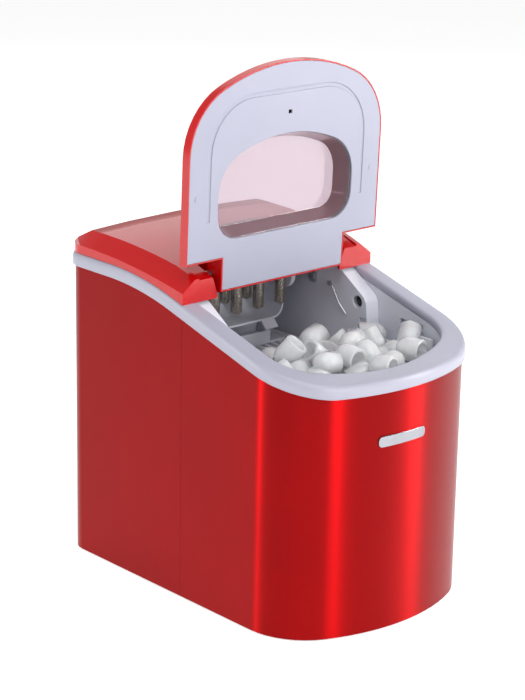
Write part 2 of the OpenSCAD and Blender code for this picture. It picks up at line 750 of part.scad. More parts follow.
// Outline of the lid with its tongue: t offsets the sides, g the tongue, and drop moves the tongue's end
// and the shoulders, which stay upright when the lid is closed
function lid_outline(t, g, drop) =
  let (w = lid_hw + t, R = front_r + t, c = 66 + t, vt = lid_len + t,
    k = sqrt(pow(R - c, 2) - pow(w - c, 2)), vc = vt - R + k, th = atan2(k, w - c),
    lo = -1.4 - g - drop, sh = tongue_len - g - drop)
  concat([[-tongue_hw - g, lo], [tongue_hw + g, lo], [tongue_hw + g, sh], [w, sh]],
    arc([w - c, vc], c, 0, th, 8), arc([0, vt - R], R, th, 180 - th, 14, 1),
    arc([c - w, vc], c, 180 - th, 180, 8, 1), [[-w, sh], [-tongue_hw - g, sh]]);
// The same outline, started near the top
function lid_plan(t, g, drop) =
  let (p = lid_outline(t, g, drop), n = len(p)) [for (i = [0:n - 1]) p[(i + 20) % n]];
function at_depth(pts, d) = [for (p = pts) [p[0], p[1], -d]];
lean = 0.28;
function lid_ring(t, cham, d) = at_depth(lid_plan(-t - cham, -t, lean * d), d);
// Window outline: flat bottom with round corners and a domed top
function window_plan(t) =
  let (w = 83 + t, b = 46.5 - t, top = 137 + t, c = 24 + t, R = 150 + t, s = 40 + t,
    k = sqrt(pow(R - s, 2) - pow(w - s, 2)), vc = top - R + k, th = atan2(k, w - s))
  concat(arc([w - c, b + c], c, -90, 0, 6), arc([w - s, vc], s, 0, th, 8),
    arc([0, top - R], R, th, 180 - th, 10, 1), arc([s - w, vc], s, 180 - th, 180, 8, 1),
    arc([c - w, b + c], c, 180, 270, 6));
well_depth = lid_depth + 0.5;
module window_well(t, d0, d1) {
  skin([at_depth(window_plan(t - 8 * d1 / well_depth), d1), at_depth(window_plan(t - 8 * d0 / well_depth), d0)]);
}
lip = 1.4;
module lid_shell() {
  color(red) lid_frame() difference() {
    union() {
      // One skin: up the outside, over the lip and down the inside
      skin([lid_ring(0, lid_cham, lid_depth), lid_ring(0, 0, lid_side), lid_ring(0, 0, 0),
        lid_ring(lip, 0, 0), lid_ring(lip, 0, lid_side), lid_ring(lip, lid_cham, lid_depth - wall)]);
      window_well(3.4, 5.4, lid_depth - 1);
      // Two lugs that the hinge pins run in
      both() box([60, 5.5, -19.4], [tongue_hw - 0.7, 21, -2.4]);
    }
    window_well(1.9, -2, well_depth + 2);
    both() translate([59, lid_axis[0], -lid_axis[1]]) rotate([0, 90, 0]) cylinder(r = pin_r + run, h = 20);
  }
}
module panel_solid() {
  up_depth(lid_plan(-lip - 0.1, -lip - 0.1, 0), 0, 2.2);
}
module up_depth(pts, d0, d1) {
  translate([0, 0, -d1]) linear_extrude(d1 - d0) polygon(pts);
}
// Shallow groove: an upside-down U around the window
module groove(hwid, top, r) {
  up_depth(concat(arc([hwid - r, top - r], r, 0, 90, 8), arc([r - hwid, top - r], r, 90, 180, 8),
    [[-hwid, 66], [hwid, 66]]), -1, 1);
}
module lid_panel() {
  color(grey) lid_frame() difference() {
    panel_solid();
    difference() {
      groove(96.5, 178.5, 52);
      groove(92.5, 174.5, 48);
      box([-130, 60, -3], [130, 66.5, 2]);
    }
    up_depth(window_plan(0), -3, 3);
    box([-1.6, 154.9, -3], [2.6, 158.3, 1]);
  }
}
module lid_window() {
  color("lightsteelblue", 0.4) lid_frame() difference() {
    union() {
      window_well(1.8, 2.3, well_depth);
      up_depth(window_plan(5), 2.3, 4.1);
    }
    window_well(0, 0, well_depth - 2);
  }
}
module window_gasket() {
  color("dimgray") lid_frame() difference() {
    up_depth(window_plan(3.6), 4.15, 5.35);
    up_depth(window_plan(0.4), 4, 6);
  }
}
module lid_bumpers() {
  color("white") lid_frame() both() translate([108, 90, 0]) cylinder(r = 3, h = 0.4);
}

base_pan();
feet();
front_wrap();
rear_wrap();
rear_grille();
rim_bezel();
top_cover();
hinge_pins();
control_panel();
power_button();
select_button();
indicator_lenses();
control_board();
liner();
foam_jacket();
left_cheek();
right_cheek();
ir_emitter();
ir_receiver();
probe_wire();
drip_deck();
evaporator_head();
evaporator_rods();
evaporator_bracket();
water_tray();
tray_motor();
ice_shovel();
ice_basket();
float_stem();
water_float();
reservoir_filter();
water_pump();
water_hose();
drain_spout();
drain_plug();
compressor();
compressor_mounts();
condenser_coil();
condenser_fins();
fan_shroud();
fan_motor();
fan_blades();
filter_drier();
refrigerant_lines();
cord_gland();
front_badge();
wrap_screws();
lid_shell();
lid_panel();
lid_window();
window_gasket();
lid_bumpers();
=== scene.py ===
import json
import math
import random

import bmesh
import bpy
import numpy as np
from mathutils import Euler, Matrix, Vector


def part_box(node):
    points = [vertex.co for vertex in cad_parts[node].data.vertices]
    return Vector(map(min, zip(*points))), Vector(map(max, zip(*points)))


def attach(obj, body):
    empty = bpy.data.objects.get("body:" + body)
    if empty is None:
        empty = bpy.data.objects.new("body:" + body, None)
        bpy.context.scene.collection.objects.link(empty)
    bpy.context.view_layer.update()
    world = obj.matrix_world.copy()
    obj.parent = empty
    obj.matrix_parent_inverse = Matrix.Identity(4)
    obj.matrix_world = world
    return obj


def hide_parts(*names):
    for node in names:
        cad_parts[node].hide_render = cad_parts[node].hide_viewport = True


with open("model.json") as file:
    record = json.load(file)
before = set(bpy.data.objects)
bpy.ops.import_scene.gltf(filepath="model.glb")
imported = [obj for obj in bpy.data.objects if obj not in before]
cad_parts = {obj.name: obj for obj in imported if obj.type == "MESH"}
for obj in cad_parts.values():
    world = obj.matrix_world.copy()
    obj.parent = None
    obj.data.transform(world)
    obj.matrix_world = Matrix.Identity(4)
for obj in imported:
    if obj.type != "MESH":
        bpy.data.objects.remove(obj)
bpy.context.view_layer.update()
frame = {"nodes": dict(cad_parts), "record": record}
nodes = frame["nodes"]
mm = 0.001


# camera: place in metres, angles in degrees, lens in millimetres
cameraSet = {"place": (-1.35089, -1.45606, 0.84258),
             "yaw": 42.42, "pitch": 17.43, "roll": 1.06, "lens": 113.9}


def makeCamera(c):
    yaw, pitch, roll = (math.radians(c[k]) for k in ("yaw", "pitch", "roll"))
    ahead = Vector((math.sin(yaw) * math.cos(pitch), math.cos(yaw) * math.cos(pitch), -math.sin(pitch)))
    level = Vector((math.cos(yaw), -math.sin(yaw), 0))
    above = level.cross(ahead)
    right = math.cos(roll) * level + math.sin(roll) * above
    up = math.cos(roll) * above - math.sin(roll) * level
    data = bpy.data.cameras.new("camera")
    data.lens = c["lens"]
    data.sensor_width = 36
    data.clip_end = 50
    cam = bpy.data.objects.new("camera", data)
    turn = Matrix((right, up, -ahead)).transposed().to_4x4()
    cam.matrix_world = Matrix.Translation(c["place"]) @ turn
    bpy.context.scene.collection.objects.link(cam)
    bpy.context.scene.camera = cam


makeCamera(cameraSet)
print("stage: camera placed; this machine shows no cord")


def colour(hexText):
    # sRGB hex to the linear values that shaders use
    parts = [int(hexText[i:i + 2], 16) / 255 for i in (0, 2, 4)]
    return tuple(p / 12.92 if p <= 0.04045 else ((p + 0.055) / 1.055) ** 2.4 for p in parts) + (1.0,)


def addNode(tree, kind, settings=None, values=None, links=None):
    made = tree.nodes.new(kind)
    for key, value in (settings or {}).items():
        setattr(made, key, value)
    for key, value in (values or {}).items():
        made.inputs[key].default_value = value
    for key, source in (links or {}).items():
        tree.links.new(source, made.inputs[key])
    return made


def makeMaterial(name, base, values, grain=None, drift=None, brushed=False):
    mat = bpy.data.materials.new(name)
    mat.use_nodes = True
    tree = mat.node_tree
    tree.nodes.clear()
    shader = addNode(tree, "ShaderNodeBsdfPrincipled", values={"Base Color": colour(base), **values})
    addNode(tree, "ShaderNodeOutputMaterial", links={"Surface": shader.outputs[0]})
    place = addNode(tree, "ShaderNodeTexCoord").outputs["Object"]
    if drift:
        # slow colour change over the piece: patch size in mm, the other colour, its largest share
        size, other, share = drift
        cloud = addNode(tree, "ShaderNodeTexNoise", values={"Scale": 1 / (size * mm), "Detail": 2.0},
                        links={"Vector": place})
        amount = addNode(tree, "ShaderNodeMapRange",
                         values={"From Min": 0.35, "From Max": 0.65, "To Max": share},
                         links={"Value": cloud.outputs[0]})
        mix = addNode(tree, "ShaderNodeMix", {"data_type": "RGBA"}, {6: colour(base), 7: colour(other)},
                      {0: amount.outputs[0]})
        tree.links.new(mix.outputs[2], shader.inputs["Base Color"])
    if grain:
        # fine texture: spacing in mm, height in mm, how much the roughness varies with it
        size, height, vary = grain
        if brushed:
            # brush lines run round the body, so they are short upright and long across
            place = addNode(tree, "ShaderNodeMapping", values={"Scale": (0.03, 0.03, 1.0)},
                            links={"Vector": place}).outputs[0]
        fine = addNode(tree, "ShaderNodeTexNoise", values={"Scale": 1 / (size * mm), "Detail": 3.0},
                       links={"Vector": place})
        if height:
            bump = addNode(tree, "ShaderNodeBump", values={"Strength": 1.0, "Distance": height * mm},
                           links={"Height": fine.outputs[0]})
            tree.links.new(bump.outputs[0], shader.inputs["Normal"])
        rough = values["Roughness"]
        spread = addNode(tree, "ShaderNodeMapRange",
                         values={"To Min": rough * (1 - vary), "To Max": rough * (1 + vary)},
                         links={"Value": fine.outputs[0]})
        tree.links.new(spread.outputs[0], shader.inputs["Roughness"])
    return mat


materials = {
    # steel sheet under a clear red lacquer: a satin metal glow that the brushing draws out upright
    "lacqueredSteel": makeMaterial("red lacquered steel", "A0070A",
        {"Metallic": 1.0, "Roughness": 0.36, "Anisotropic": 0.97, "Anisotropic Rotation": 0.25,
         "Coat Weight": 0.1, "Coat Roughness": 0.2},
        grain=(0.5, 0.0, 0.18), drift=(120, "920609", 0.35), brushed=True),
    # glossy moulded ABS, coloured through: sharp reflections over a deep red
    "redAbs": makeMaterial("red glossy ABS", "C00408",
        {"Roughness": 0.2, "IOR": 1.5, "Coat Weight": 0.15, "Coat Roughness": 0.05},
        grain=(1.2, 0.004, 0.15), drift=(90, "B40509", 0.4)),
    # finely textured ABS, cool grey: a soft sheen
    "rimAbs": makeMaterial("cool grey satin ABS", "A6A6B5",
        {"Roughness": 0.36, "IOR": 1.53}, grain=(0.6, 0.008, 0.15), drift=(70, "A1A1B0", 0.5)),
    # the same kind of plastic on the inside of the lid: smooth and even, with a soft sheen
    "panelAbs": makeMaterial("pale grey satin ABS", "9C9DAE",
        {"Roughness": 0.33, "IOR": 1.53}, grain=(0.6, 0.008, 0.15), drift=(70, "9798A9", 0.5)),
    # polypropylene liner: waxy and a little translucent
    "linerPp": makeMaterial("grey polypropylene", "D6D8E2",
        {"Roughness": 0.4, "IOR": 1.49, "Subsurface Weight": 0.05, "Subsurface Radius": (1, 1, 1),
         "Subsurface Scale": 0.004},
        grain=(0.7, 0.01, 0.15), drift=(50, "CDCFDA", 0.5)),
    # the same polypropylene, whiter and a little more translucent
    "whitePp": makeMaterial("white polypropylene", "DEDFE4",
        {"Roughness": 0.38, "IOR": 1.49, "Subsurface Weight": 0.1, "Subsurface Radius": (1, 1, 1),
         "Subsurface Scale": 0.004},
        grain=(0.7, 0.008, 0.15), drift=(50, "D6D8DE", 0.5)),
    # clear moulded polycarbonate, faintly tinted: sharp reflections, with what is behind it showing
    "clearPc": makeMaterial("clear polycarbonate", "CDBAC4",
        {"Roughness": 0.03, "IOR": 1.45, "Transmission Weight": 0.82, "Coat Weight": 0.2},
        grain=(2.0, 0.0, 0.3)),
    # ABS moulded in a textured tool: dark and dull, with no clear reflections
    "blackAbs": makeMaterial("charcoal textured ABS", "2A2A2D",
        {"Roughness": 0.5, "IOR": 1.53}, grain=(0.5, 0.02, 0.2), drift=(40, "323236", 0.5)),
    # ABS key under metallic paint: a soft metallic glint
    "buttonAbs": makeMaterial("silver painted key", "A9ABB0",
        {"Metallic": 0.5, "Roughness": 0.32}, grain=(0.3, 0.003, 0.2), drift=(10, "A0A2A8", 0.5)),
    # green moulded lens: glossy, and light passes into it
    "lensPc": makeMaterial("green lamp lens", "5FC46A",
        {"Roughness": 0.15, "Transmission Weight": 0.4},
        grain=(0.5, 0.002, 0.2), drift=(4, "7BD884", 0.5)),
    # closed-cell foam: matt and slightly pitted
    "floatPp": makeMaterial("orange float foam", "D9731C",
        {"Roughness": 0.6}, grain=(0.8, 0.05, 0.15), drift=(8, "C96514", 0.5)),
    # lens that passes infrared: nearly black, with a small sharp highlight
    "sensorPc": makeMaterial("dark infrared lens", "120D18",
        {"Roughness": 0.1, "IOR": 1.58}, grain=(0.5, 0.002, 0.2), drift=(3, "1B1424", 0.5)),
    # moulded rubber: hardly any reflection
    "rubber": makeMaterial("black rubber", "171717",
        {"Roughness": 0.7}, grain=(0.4, 0.02, 0.15), drift=(15, "202020", 0.5)),
    # cold-rolled steel, lightly brushed: soft grey reflections
    "steel": makeMaterial("brushed steel", "B9BBBE",
        {"Metallic": 1.0, "Roughness": 0.3}, grain=(0.5, 0.004, 0.25), drift=(20, "A9ABAE", 0.5)),
    # nickel-plated copper: warm grey, water-marked
    "nickel": makeMaterial("nickel plated copper", "A8A096",
        {"Metallic": 1.0, "Roughness": 0.28}, grain=(1.0, 0.006, 0.35), drift=(8, "8C857A", 0.7)),
    # satin plating: a bright, slightly blurred mirror
    "chrome": makeMaterial("satin chrome badge", "A5A6AC",
        {"Metallic": 1.0, "Roughness": 0.22}, grain=(0.4, 0.002, 0.2), drift=(12, "999AA1", 0.5)),
    # rolled fin stock, unpolished: pale, blurred reflections
    "aluminium": makeMaterial("mill aluminium fin", "C4C6C9",
        {"Metallic": 1.0, "Roughness": 0.35}, grain=(0.6, 0.004, 0.2), drift=(15, "B4B6BA", 0.5)),
    # drawn tube, darkened in patches: a warm metallic glow
    "copper": makeMaterial("drawn copper tube", "C07A54",
        {"Metallic": 1.0, "Roughness": 0.3}, grain=(0.8, 0.004, 0.25), drift=(20, "9A5C3E", 0.6)),
    # stoved enamel over steel: deep black with smooth highlights
    "blackPaint": makeMaterial("black enamelled steel", "101011",
        {"Roughness": 0.3}, grain=(1.0, 0.02, 0.2), drift=(40, "18181A", 0.5)),
    # moulded beads: white and matt, with a pebbled surface
    "foam": makeMaterial("white polystyrene foam", "ECECE8",
        {"Roughness": 0.85}, grain=(2.5, 0.15, 0.1), drift=(6, "DFDFDA", 0.5)),
    # green solder resist: glossy and slightly uneven
    "circuit": makeMaterial("green circuit board", "0F5A2C",
        {"Roughness": 0.3}, grain=(0.8, 0.01, 0.2), drift=(5, "146B36", 0.6)),
    # clear tray ice: wet skin over a milky core
    "ice": makeMaterial("wet ice", "FFFFFF",
        {"Roughness": 0.08, "IOR": 1.31, "Transmission Weight": 0.42, "Subsurface Weight": 0.55,
         "Subsurface Radius": (1, 1, 1), "Subsurface Scale": 0.01,
         "Coat Weight": 0.6, "Coat Roughness": 0.03},
        grain=(5.0, 0.25, 0.5), drift=(9, "EEF3F8", 0.8)),
}
finishes = {
    "lacqueredSteel": ["front_wrap", "rear_wrap"],
    "redAbs": ["top_cover", "lid_shell"],
    "rimAbs": ["rim_bezel"],
    "panelAbs": ["lid_panel", "lid_bumpers"],
    "linerPp": ["liner", "left_cheek", "right_cheek", "water_tray", "ice_shovel", "drain_spout"],
    "whitePp": ["drip_deck", "ice_basket", "float_stem", "reservoir_filter", "water_hose"],
    "clearPc": ["lid_window"],
    "blackAbs": ["base_pan", "rear_grille", "control_panel", "water_pump", "fan_shroud", "fan_motor",
                 "fan_blades", "cord_gland"],
    "buttonAbs": ["power_button", "select_button"],
    "lensPc": ["indicator_lenses"],
    "floatPp": ["water_float"],
    "sensorPc": ["ir_emitter", "ir_receiver"],
    "rubber": ["feet", "compressor_mounts", "drain_plug", "window_gasket"],
    "steel": ["hinge_pins", "probe_wire", "evaporator_bracket", "wrap_screws", "tray_motor"],
    "nickel": ["evaporator_head", "evaporator_rods"],
    "chrome": ["front_badge"],
    "aluminium": ["condenser_fins"],
    "copper": ["condenser_coil", "refrigerant_lines", "filter_drier"],
    "blackPaint": ["compressor"],
    "foam": ["foam_jacket"],
    "circuit": ["control_board"],
}
finishOf = {node: key for key, group in finishes.items() for node in group}
bodyOf = {node: body for body, group in frame["record"]["behaviour"]["bodies"].items() for node in group}
for node, piece in nodes.items():
    for place in piece.material_slots:
        place.material = materials[finishOf[node]]
print("stage: materials on", len(nodes), "nodes")


def meshObject(name, mesh):
    piece = bpy.data.objects.new(name, mesh)
    bpy.context.scene.collection.objects.link(piece)
    return piece


def applied(piece):
    # bakes the modifiers into the mesh and removes them
    bpy.context.view_layer.update()
    seen = piece.evaluated_get(bpy.context.evaluated_depsgraph_get())
    done = bpy.data.meshes.new_from_object(seen)
    piece.modifiers.clear()
    piece.data = done
    return piece


# sharp and flat are angles in degrees: edges over sharp are rounded, and faces within flat are joined;
# points closer than merge, in millimetres, become one
finishSet = {"sharp": 32, "flat": 0.4, "merge": 0.002}


def softened(piece, width):
    # rounds the sharp edges and lets large faces keep their shading flat
    if width:
        edge = piece.modifiers.new("round", "BEVEL")
        edge.width = width * mm
        edge.segments = 2
        edge.limit_method = "ANGLE"
        edge.angle_limit = math.radians(finishSet["sharp"])
        edge.use_clamp_overlap = True
    weigh = piece.modifiers.new("weigh", "WEIGHTED_NORMAL")
    weigh.keep_sharp = True
    return applied(piece)


def fromFrame(node, width):
    # a merged copy of a CAD node with rounded edges, standing in its place
    mesh = nodes[node].data.copy()
    made = bmesh.new()
    made.from_mesh(mesh)
    near, level = finishSet["merge"] * mm, math.radians(finishSet["flat"])
    bmesh.ops.remove_doubles(made, verts=made.verts, dist=near)
    bmesh.ops.dissolve_degenerate(made, edges=made.edges, dist=near)
    bmesh.ops.dissolve_limit(made, angle_limit=level, verts=made.verts, edges=made.edges)
    for face in made.faces:
        face.smooth = True
    for edge in made.edges:
        flat = len(edge.link_faces) == 2 and edge.calc_face_angle(0) < math.radians(finishSet["sharp"])
        edge.smooth = flat or width > 0
    made.to_mesh(mesh)
    made.free()
    piece = softened(meshObject(node + ".finished", mesh), width)
    piece.data.materials.clear()
    piece.data.materials.append(materials[finishOf[node]])
    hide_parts(node)
    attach(piece, bodyOf[node])


# outlines shared by the outer pieces, in millimetres
outline = {"halfWidth": 118, "halfDepth": 172.5, "frontRadius": 197, "cornerRadius": 64, "rearRadius": 22}
bay = {"halfWidth": 100.5, "front": -151, "back": 150,
       "frontRadius": 175, "cornerRadius": 44, "rearRadius": 9}
rim = {"out": 2.5, "band": 12.4, "frontZ": 240, "slope": 0.28, "slopeFrom": -158,
       "levelFrom": 15, "levelOver": 90, "skirt": 8, "wall": 2.5}
# how many stretches each part of an outline is cut into
curveSteps = {"front": 40, "corner": 20, "side": 36, "rearCorner": 10, "halfBack": 8}


def arcPoints(cx, cy, r, a0, a1, n):
    return [(cx + r * math.cos(a0 + (a1 - a0) * i / n), cy + r * math.sin(a0 + (a1 - a0) * i / n))
            for i in range(n + 1)]


def planCurve(w, front, back, fr, cr, rr):
    # bowed front, two large corners, straight sides cut into steps, two small rear corners
    reach = math.sqrt((fr - cr) ** 2 - (w - cr) ** 2)
    yc = front + fr - reach
    turn = math.atan2(reach, w - cr)
    s = curveSteps
    points = arcPoints(0, front + fr, fr, turn - math.pi, -turn, s["front"])
    points += arcPoints(w - cr, yc, cr, -turn, 0, s["corner"])[1:]
    points += [(w, yc + (back - rr - yc) * i / s["side"]) for i in range(1, s["side"])]
    points += arcPoints(w - rr, back - rr, rr, 0, math.pi / 2, s["rearCorner"])
    points += [((w - rr) * (1 - i / s["halfBack"]), back) for i in range(1, 2 * s["halfBack"])]
    points += arcPoints(rr - w, back - rr, rr, math.pi / 2, math.pi, s["rearCorner"])
    points += [(-w, back - rr + (yc - back + rr) * i / s["side"]) for i in range(1, s["side"])]
    points += arcPoints(cr - w, yc, cr, math.pi, math.pi + turn, s["corner"])[:-1]
    return points


def bodyCurve(t):
    o = outline
    return planCurve(o["halfWidth"] + t, -o["halfDepth"] - t, o["halfDepth"] + t, o["frontRadius"] + t,
                     o["cornerRadius"] + t, o["rearRadius"] + t)


def bayCurve(t):
    return planCurve(bay["halfWidth"] + t, bay["front"] - t, bay["back"] + t, bay["frontRadius"] + t,
                     bay["cornerRadius"] + t, bay["rearRadius"] + t)


def rimZ(y):
    start, level, over, slope = rim["slopeFrom"], rim["levelFrom"], rim["levelOver"], rim["slope"]
    if y < start:
        return rim["frontZ"]
    if y < level:
        return rim["frontZ"] + (y - start) * slope
    s = min(y - level, over)
    return rim["frontZ"] + (level - start) * slope + slope * s - slope * s * s / 2 / over


def lofted(name, rings):
    # quads between rings of equal length, with the last ring joined to the first
    mesh = bpy.data.meshes.new(name)
    made = bmesh.new()
    grid = [[made.verts.new((x * mm, y * mm, z * mm)) for x, y, z in ring] for ring in rings]
    count = len(grid[0])
    for j in range(len(grid)):
        a, b = grid[j], grid[(j + 1) % len(grid)]
        for i in range(count):
            k = (i + 1) % count
            made.faces.new((a[i], a[k], b[k], b[i]))
    bmesh.ops.recalc_face_normals(made, faces=made.faces)
    for face in made.faces:
        face.smooth = True
    made.to_mesh(mesh)
    made.free()
    return meshObject(name, mesh)


def makeRim():
    out, band, skirt, wall = rim["out"], rim["band"], rim["skirt"], rim["wall"]
    outer = [(out - 0.5, -band), (out, -band + 0.6), (out, -5.6), (out - 0.25, -3.6), (out - 0.95, -1.9),
             (out - 2.1, -0.75), (out - 3.6, -0.15), (out - 5.0, 0.0)]
    inner = [(2.6, -0.1), (1.2, -0.5), (0.35, -1.3), (0.0, -2.5), (0.0, -skirt + 0.4), (0.4, -skirt),
             (wall, -skirt), (wall, -2.7)]
    under = [(0.35, -2.7), (0.35, -band)]
    rings = [[(x, y, rimZ(y) + dz) for x, y in bodyCurve(t)] for t, dz in outer]
    edge, lip = bodyCurve(outer[-1][0]), bayCurve(inner[0][0])
    for share in (0.33, 0.67):
        between = [(a[0] + (b[0] - a[0]) * share, a[1] + (b[1] - a[1]) * share) for a, b in zip(edge, lip)]
        rings.append([(x, y, rimZ(y)) for x, y in between])
    rings += [[(x, y, rimZ(y) + dz) for x, y in bayCurve(t)] for t, dz in inner]
    rings += [[(x, y, rimZ(y) + dz) for x, y in bodyCurve(t)] for t, dz in under]
    piece = lofted("rim", rings)
    piece.data.materials.append(materials["rimAbs"])
    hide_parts("rim_bezel")
    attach(piece, "chassis")


makeRim()
print("stage: rim")

# edge roundings in mm of the pieces that show most
roundings = {"front_wrap": 0, "rear_wrap": 0, "top_cover": 0.9, "lid_shell": 0.8, "lid_panel": 0.5,
             "lid_window": 0.5,
             "liner": 0.6, "left_cheek": 0.6, "right_cheek": 0.6, "ice_basket": 0.4, "drip_deck": 0.4,
             "water_tray": 0.5, "front_badge": 0.3, "control_panel": 0.4, "drain_plug": 0.3,
             "power_button": 0.5, "select_button": 0.5, "base_pan": 0.4, "tray_motor": 0.4}
for node, width in roundings.items():
    fromFrame(node, width)
print("stage:", len(roundings), "pieces finished from the frame")


# repeated pieces grown with Geometry Nodes, sizes in millimetres
def startTree(name, sizes):
    # a tree with one named input for each size; returns it and the sockets of its inputs
    tree = bpy.data.node_groups.new(name, "GeometryNodeTree")
    tree.interface.new_socket("Points", in_out="INPUT", socket_type="NodeSocketGeometry")
    for label in sizes:
        tree.interface.new_socket(label, in_out="INPUT", socket_type="NodeSocketFloat")
    tree.interface.new_socket("Shape", in_out="OUTPUT", socket_type="NodeSocketGeometry")
    given = addNode(tree, "NodeGroupInput").outputs
    return tree, given


def vectorOf(tree, **parts):
    return addNode(tree, "ShaderNodeCombineXYZ", links=parts).outputs[0]


def endTree(tree, shape, material):
    real = addNode(tree, "GeometryNodeRealizeInstances", links={"Geometry": shape}).outputs[0]
    painted = addNode(tree, "GeometryNodeSetMaterial", values={"Material": material},
                      links={"Geometry": real})
    addNode(tree, "NodeGroupOutput", links={0: painted.outputs[0]})


def grown(node, tree, sizes, points, width):
    # grows the tree from points, rounds its edges and puts the piece in the CAD node's place
    mesh = bpy.data.meshes.new(node + ".grown")
    mesh.from_pydata([tuple(v * mm for v in point) for point in points], [], [])
    piece = meshObject(node + ".grown", mesh)
    grow = piece.modifiers.new("grow", "NODES")
    grow.node_group = tree
    for entry in tree.interface.items_tree:
        if entry.in_out == "INPUT" and entry.name in sizes:
            grow[entry.identifier] = sizes[entry.name] * mm
    softened(applied(piece), width)
    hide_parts(node)
    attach(piece, bodyOf[node])


# pan-head screws with a cross recess
screwSizes = {"Head radius": 3.2, "Head height": 1.4,
              "Shank radius": 1.5, "Shank length": 6.0, "Shank drop": -3.6,
              "Cross length": 3.6, "Cross width": 0.8, "Cross depth": 1.4, "Cross rise": 0.7}
screwPlaces = {"x": (-90, 90), "z": (27, 170, 262)}


def growScrews():
    tree, given = startTree("panHeadScrew", screwSizes)
    head = addNode(tree, "GeometryNodeMeshCylinder", values={"Vertices": 32},
                   links={"Radius": given["Head radius"], "Depth": given["Head height"]}).outputs[0]
    bars = []
    for across, along in (("Cross length", "Cross width"), ("Cross width", "Cross length")):
        size = vectorOf(tree, X=given[across], Y=given[along], Z=given["Cross depth"])
        bar = addNode(tree, "GeometryNodeMeshCube", links={"Size": size}).outputs[0]
        bars.append(addNode(tree, "GeometryNodeTransform", links={
            "Geometry": bar, "Translation": vectorOf(tree, Z=given["Cross rise"])}).outputs[0])
    cut = addNode(tree, "GeometryNodeMeshBoolean", {"operation": "DIFFERENCE", "solver": "EXACT"},
                  links={"Mesh 1": head})
    for bar in bars:
        tree.links.new(bar, cut.inputs["Mesh 2"])
    shank = addNode(tree, "GeometryNodeMeshCylinder", values={"Vertices": 24},
                    links={"Radius": given["Shank radius"], "Depth": given["Shank length"]}).outputs[0]
    shank = addNode(tree, "GeometryNodeTransform", links={
        "Geometry": shank, "Translation": vectorOf(tree, Z=given["Shank drop"])}).outputs[0]
    screw = addNode(tree, "GeometryNodeJoinGeometry", links={"Geometry": cut.outputs[0]})
    tree.links.new(shank, screw.inputs[0])
    facing = addNode(tree, "GeometryNodeTransform", values={"Rotation": (math.radians(-90), 0, 0)},
                     links={"Geometry": screw.outputs[0]}).outputs[0]
    spread = addNode(tree, "GeometryNodeInstanceOnPoints",
                     links={"Points": given["Points"], "Instance": facing})
    endTree(tree, spread.outputs[0], materials[finishOf["wrap_screws"]])
    headMid = outline["halfDepth"] + screwSizes["Head height"] / 2
    places = [(x, headMid, z) for x in screwPlaces["x"] for z in screwPlaces["z"]]
    grown("wrap_screws", tree, screwSizes, places, 0.15)


# louvred grille: a frame and sloping slats
grilleSizes = {"Frame width": 85.6, "Frame thickness": 7.5, "Frame height": 113.6, "Hole width": 74.0,
               "Hole height": 102.0, "Hole thickness": 12.0,
               "Middle x": -51.0, "Middle y": 170.25, "Middle z": 93.0,
               "Slat length": 76.0, "Slat thickness": 1.8, "Slat depth": 7.5}
for side in ("length", "thickness", "depth"):
    grilleSizes["Half " + side] = grilleSizes["Slat " + side] / 2
slatSet = {"count": 12, "pitch": 8.4, "first": (-89, 168, 47), "slope": -35}


def growGrille():
    tree, given = startTree("louvredGrille", grilleSizes)
    middle = vectorOf(tree, X=given["Middle x"], Y=given["Middle y"], Z=given["Middle z"])
    blocks = []
    for label in ("Frame", "Hole"):
        size = vectorOf(tree, X=given[label + " width"], Y=given[label + " thickness"],
                        Z=given[label + " height"])
        block = addNode(tree, "GeometryNodeMeshCube", links={"Size": size}).outputs[0]
        blocks.append(addNode(tree, "GeometryNodeTransform",
                              links={"Geometry": block, "Translation": middle}).outputs[0])
    border = addNode(tree, "GeometryNodeMeshBoolean", {"operation": "DIFFERENCE", "solver": "EXACT"},
                     links={"Mesh 1": blocks[0], "Mesh 2": blocks[1]}).outputs[0]
    size = vectorOf(tree, X=given["Slat length"], Y=given["Slat thickness"], Z=given["Slat depth"])
    slat = addNode(tree, "GeometryNodeMeshCube", links={"Size": size}).outputs[0]
    corner = vectorOf(tree, X=given["Half length"], Y=given["Half thickness"], Z=given["Half depth"])
    slat = addNode(tree, "GeometryNodeTransform",
                   links={"Geometry": slat, "Translation": corner}).outputs[0]
    slope = (math.radians(slatSet["slope"]), 0, 0)
    slat = addNode(tree, "GeometryNodeTransform", values={"Rotation": slope},
                   links={"Geometry": slat}).outputs[0]
    slats = addNode(tree, "GeometryNodeInstanceOnPoints",
                    links={"Points": given["Points"], "Instance": slat}).outputs[0]
    whole = addNode(tree, "GeometryNodeJoinGeometry", links={"Geometry": border})
    tree.links.new(slats, whole.inputs[0])
    endTree(tree, whole.outputs[0], materials[finishOf["rear_grille"]])
    x, y, z = slatSet["first"]
    places = [(x, y, z + i * slatSet["pitch"]) for i in range(slatSet["count"])]
    grown("rear_grille", tree, grilleSizes, places, 0.3)


growScrews()
growGrille()
print("stage: screws and grille grown")


# ice: hollow bullets piled in the basket
iceSet = {"radius": 11.2, "length": 27, "wall": 3.6, "turns": 16, "wobble": 0.05,
          "spacing": 23.0, "tries": 40, "misses": 16, "seed": 7,
          "floorUp": 2, "tuck": 1.5, "spin": 6.28, "sizes": (0.93, 1.05),
          "top": 256, "crestY": -70, "crestRun": 60, "crestFall": 16, "sideRun": 96, "sideFall": 8}
# inner walls of the basket: a narrow rear, then two round corners and a bowed front
basketInside = {"rearFrom": -40, "rearHalf": 79, "rearSlack": 4, "wall": 2.5, "sideGap": 2,
                "inset": 5.5, "corner": 41, "frontGap": 6, "frontRadius": 170}


